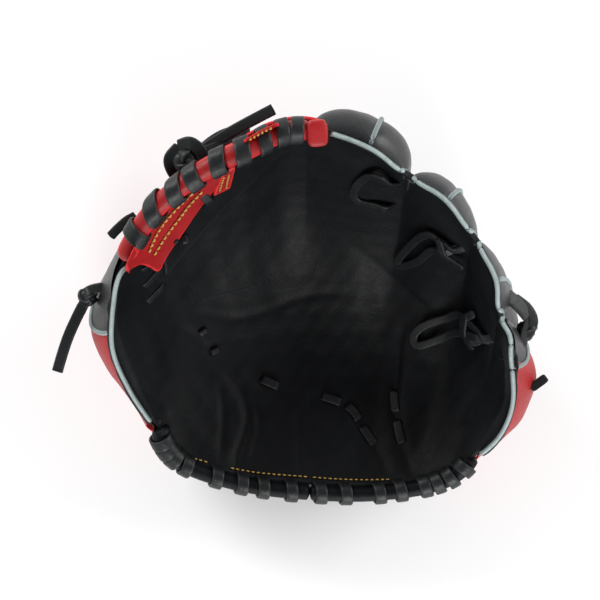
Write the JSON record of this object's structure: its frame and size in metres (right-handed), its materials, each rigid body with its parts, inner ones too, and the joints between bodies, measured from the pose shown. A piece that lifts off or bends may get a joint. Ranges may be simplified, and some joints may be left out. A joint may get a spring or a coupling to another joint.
{
  "type": "ball glove",
  "caption": "Laced leather catching glove for the left hand: cupped padded palm, laced web with a rolled top bar, five stalls; thumb and finger sides fold over the pocket.",
  "frame": {"origin": "on the surface the glove lies on, under the middle of its outline", "axes": "+X from the thumb to the little finger, +Y from the heel to the fingertips, +Z out of the pocket"},
  "size_m": [0.2653, 0.2152, 0.1626],
  "materials": {
    "black_leather": "satin oiled hide, fine grain",
    "red_leather": "satin dyed hide, fine grain",
    "lace": "waxed rawhide",
    "piping": "silver-grey piping",
    "lining_leather": "soft matt lining hide",
    "felt": "pressed felt, hidden",
    "fleece": "napped pile"
  },
  "bodies": {
    "palm": {"palm_leather": "black_leather", "palm_pad": "felt", "palm_liner": "lining_leather", "wrist_strap": "black_leather", "wrist_fleece": "fleece", "web_panel": "black_leather", "web_post": "black_leather", "web_post_outer": "red_leather", "web_bar": "red_leather", "web_bar_flap": "red_leather", "web_bar_lace": "lace", "web_thumb_lace": "lace", "web_index_lace": "lace", "web_knot": "lace", "web_lace_end": "lace", "heel_binding_center": "black_leather", "heel_lace_center": "lace"},
    "thumb": {"thumb_palm_leather": "black_leather", "thumb_heel_pad": "felt", "thumb_stay": "felt", "thumb_back_red": "red_leather", "thumb_back_tip": "black_leather", "thumb_liner": "lining_leather", "thumb_loop": "lining_leather", "thumb_knot": "lace", "thumb_lace_end": "lace", "thumb_welt": "piping", "heel_binding_thumb": "black_leather", "heel_lace_thumb": "lace"},
    "fingers": {"finger_palm_leather": "black_leather", "little_heel_pad": "felt", "little_stay": "felt", "little_back_red": "red_leather", "little_back_tip": "black_leather", "little_liner": "lining_leather", "little_loop": "lining_leather", "little_knot": "lace", "little_lace_stub": "lace", "finger_lace": "lace", "palm_break_lace": "lace", "little_welt": "piping", "index_tip_welt": "piping", "middle_tip_welt": "piping", "ring_tip_welt": "piping", "little_tip_welt": "piping", "index_back_welt": "piping", "middle_back_welt": "piping", "ring_back_welt": "piping", "index_back": "black_leather", "middle_back": "black_leather", "ring_back": "black_leather", "index_liner": "lining_leather", "middle_liner": "lining_leather", "ring_liner": "lining_leather", "heel_binding_fingers": "black_leather", "heel_lace_fingers": "lace"}
  },
  "joints": [
    {"name": "thumb_fold", "type": "hinge", "parent": "palm", "child": "thumb", "pos_m": [-0.043, -0.0867, 0.06], "axis": [-0.139, 0.9893, 0.045], "range_deg": [-5, 35], "stiffness_Nm_per_rad": 3, "deforming": ["web_panel", "web_post", "web_post_outer", "web_bar", "web_bar_flap", "web_bar_lace", "web_thumb_lace", "web_knot"]},
    {"name": "finger_fold", "type": "hinge", "parent": "palm", "child": "fingers", "pos_m": [0.027, -0.0927, 0.059], "axis": [0.1801, -0.9827, 0.042], "range_deg": [-5, 35], "stiffness_Nm_per_rad": 3, "deforming": ["web_index_lace"]}
  ]
}
